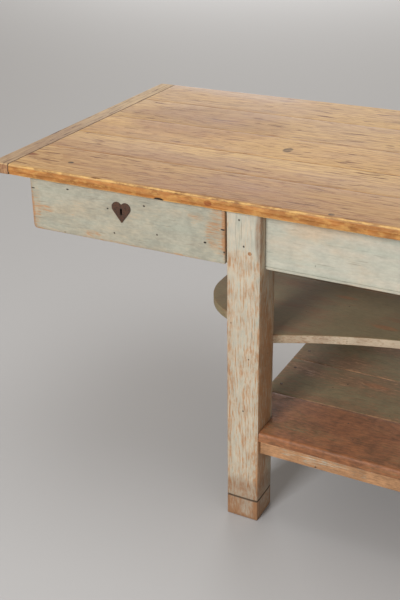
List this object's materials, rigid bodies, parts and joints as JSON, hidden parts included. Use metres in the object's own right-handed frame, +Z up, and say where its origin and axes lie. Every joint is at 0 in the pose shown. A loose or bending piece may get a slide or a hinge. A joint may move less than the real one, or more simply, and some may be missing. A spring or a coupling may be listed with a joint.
{
  "type": "work table",
  "caption": "Long pine work table: plank top with breadboard ends over a painted four-legged frame, with two shelves and a drawer with a heart escutcheon under each end.",
  "frame": {"origin": "on the floor, under the centre of the top", "axes": "+X along the table to the right, -Y towards the front with the drawers, +Z up"},
  "size_m": [2.4, 0.776, 0.78],
  "materials": {
    "oiled_pine": "worn oiled pine, satin",
    "end_pine": "darker oiled pine of the breadboard ends, satin",
    "grey_green_paint": "thin grey-green milk paint on pine, rubbed through, matt",
    "shelf_paint": "worn olive paint on pine boards, matt",
    "foot_wood": "paint mostly worn off pine, matt",
    "red_brown_pine": "reddish brown worn pine, satin",
    "orange_pine": "orange worn pine rail, satin",
    "raw_pine": "unpainted pine inside, matt",
    "peg_wood": "dark pegs and dowels, matt",
    "rusty_iron": "brown rusted wrought iron, matt",
    "dark_iron": "dark iron nails and screws, matt"
  },
  "bodies": {
    "table": {"top_plank_1": "oiled_pine", "top_plank_2": "oiled_pine", "top_plank_3": "oiled_pine", "top_plank_4": "oiled_pine", "top_plank_5": "oiled_pine", "breadboard_left": "end_pine", "breadboard_right": "end_pine", "breadboard_pegs": "peg_wood", "leg_front_left": "grey_green_paint", "leg_front_right": "grey_green_paint", "leg_back_left": "grey_green_paint", "leg_back_right": "grey_green_paint", "foot_front_left": "foot_wood", "foot_front_right": "foot_wood", "foot_back_left": "foot_wood", "foot_back_right": "foot_wood", "foot_dowels": "peg_wood", "apron_front": "grey_green_paint", "apron_back": "grey_green_paint", "end_rail_left": "grey_green_paint", "end_rail_right": "grey_green_paint", "frame_pegs": "peg_wood", "batten_left": "raw_pine", "batten_right": "raw_pine", "glue_blocks": "rusty_iron", "wood_screws": "dark_iron", "lower_rail_front": "orange_pine", "lower_rail_back": "orange_pine", "lower_rail_left": "orange_pine", "lower_rail_right": "orange_pine", "lower_board_1": "red_brown_pine", "lower_board_2": "shelf_paint", "lower_board_3": "shelf_paint", "lower_board_4": "shelf_paint", "shelf_nails": "dark_iron", "mid_shelf_front": "shelf_paint", "mid_shelf_back": "shelf_paint", "drawer_hangers": "raw_pine", "drawer_ledges": "raw_pine"},
    "left_drawer": {"left_drawer_front": "grey_green_paint", "left_drawer_side_outer": "raw_pine", "left_drawer_side_inner": "raw_pine", "left_drawer_back": "raw_pine", "left_drawer_bottom": "raw_pine", "left_drawer_strips": "raw_pine", "left_lock_case": "rusty_iron", "left_heart": "rusty_iron", "left_heart_pins": "dark_iron"},
    "right_drawer": {"right_drawer_front": "grey_green_paint", "right_drawer_side_outer": "raw_pine", "right_drawer_side_inner": "raw_pine", "right_drawer_back": "raw_pine", "right_drawer_bottom": "raw_pine", "right_drawer_strips": "raw_pine", "right_lock_case": "rusty_iron", "right_heart": "rusty_iron", "right_heart_pins": "dark_iron"},
    "left_bolt": {"left_lock_bolt": "rusty_iron"},
    "right_bolt": {"right_lock_bolt": "rusty_iron"}
  },
  "joints": [
    {"name": "left_drawer_slide", "type": "slide", "parent": "table", "child": "left_drawer", "axis": [0, -1, 0], "range_m": [0, 0.36]},
    {"name": "right_drawer_slide", "type": "slide", "parent": "table", "child": "right_drawer", "axis": [0, -1, 0], "range_m": [0, 0.36]},
    {"name": "left_bolt_slide", "type": "slide", "parent": "left_drawer", "child": "left_bolt", "axis": [0, 0, 1], "range_m": [0, 0.009]},
    {"name": "right_bolt_slide", "type": "slide", "parent": "right_drawer", "child": "right_bolt", "axis": [0, 0, 1], "range_m": [0, 0.009]}
  ]
}
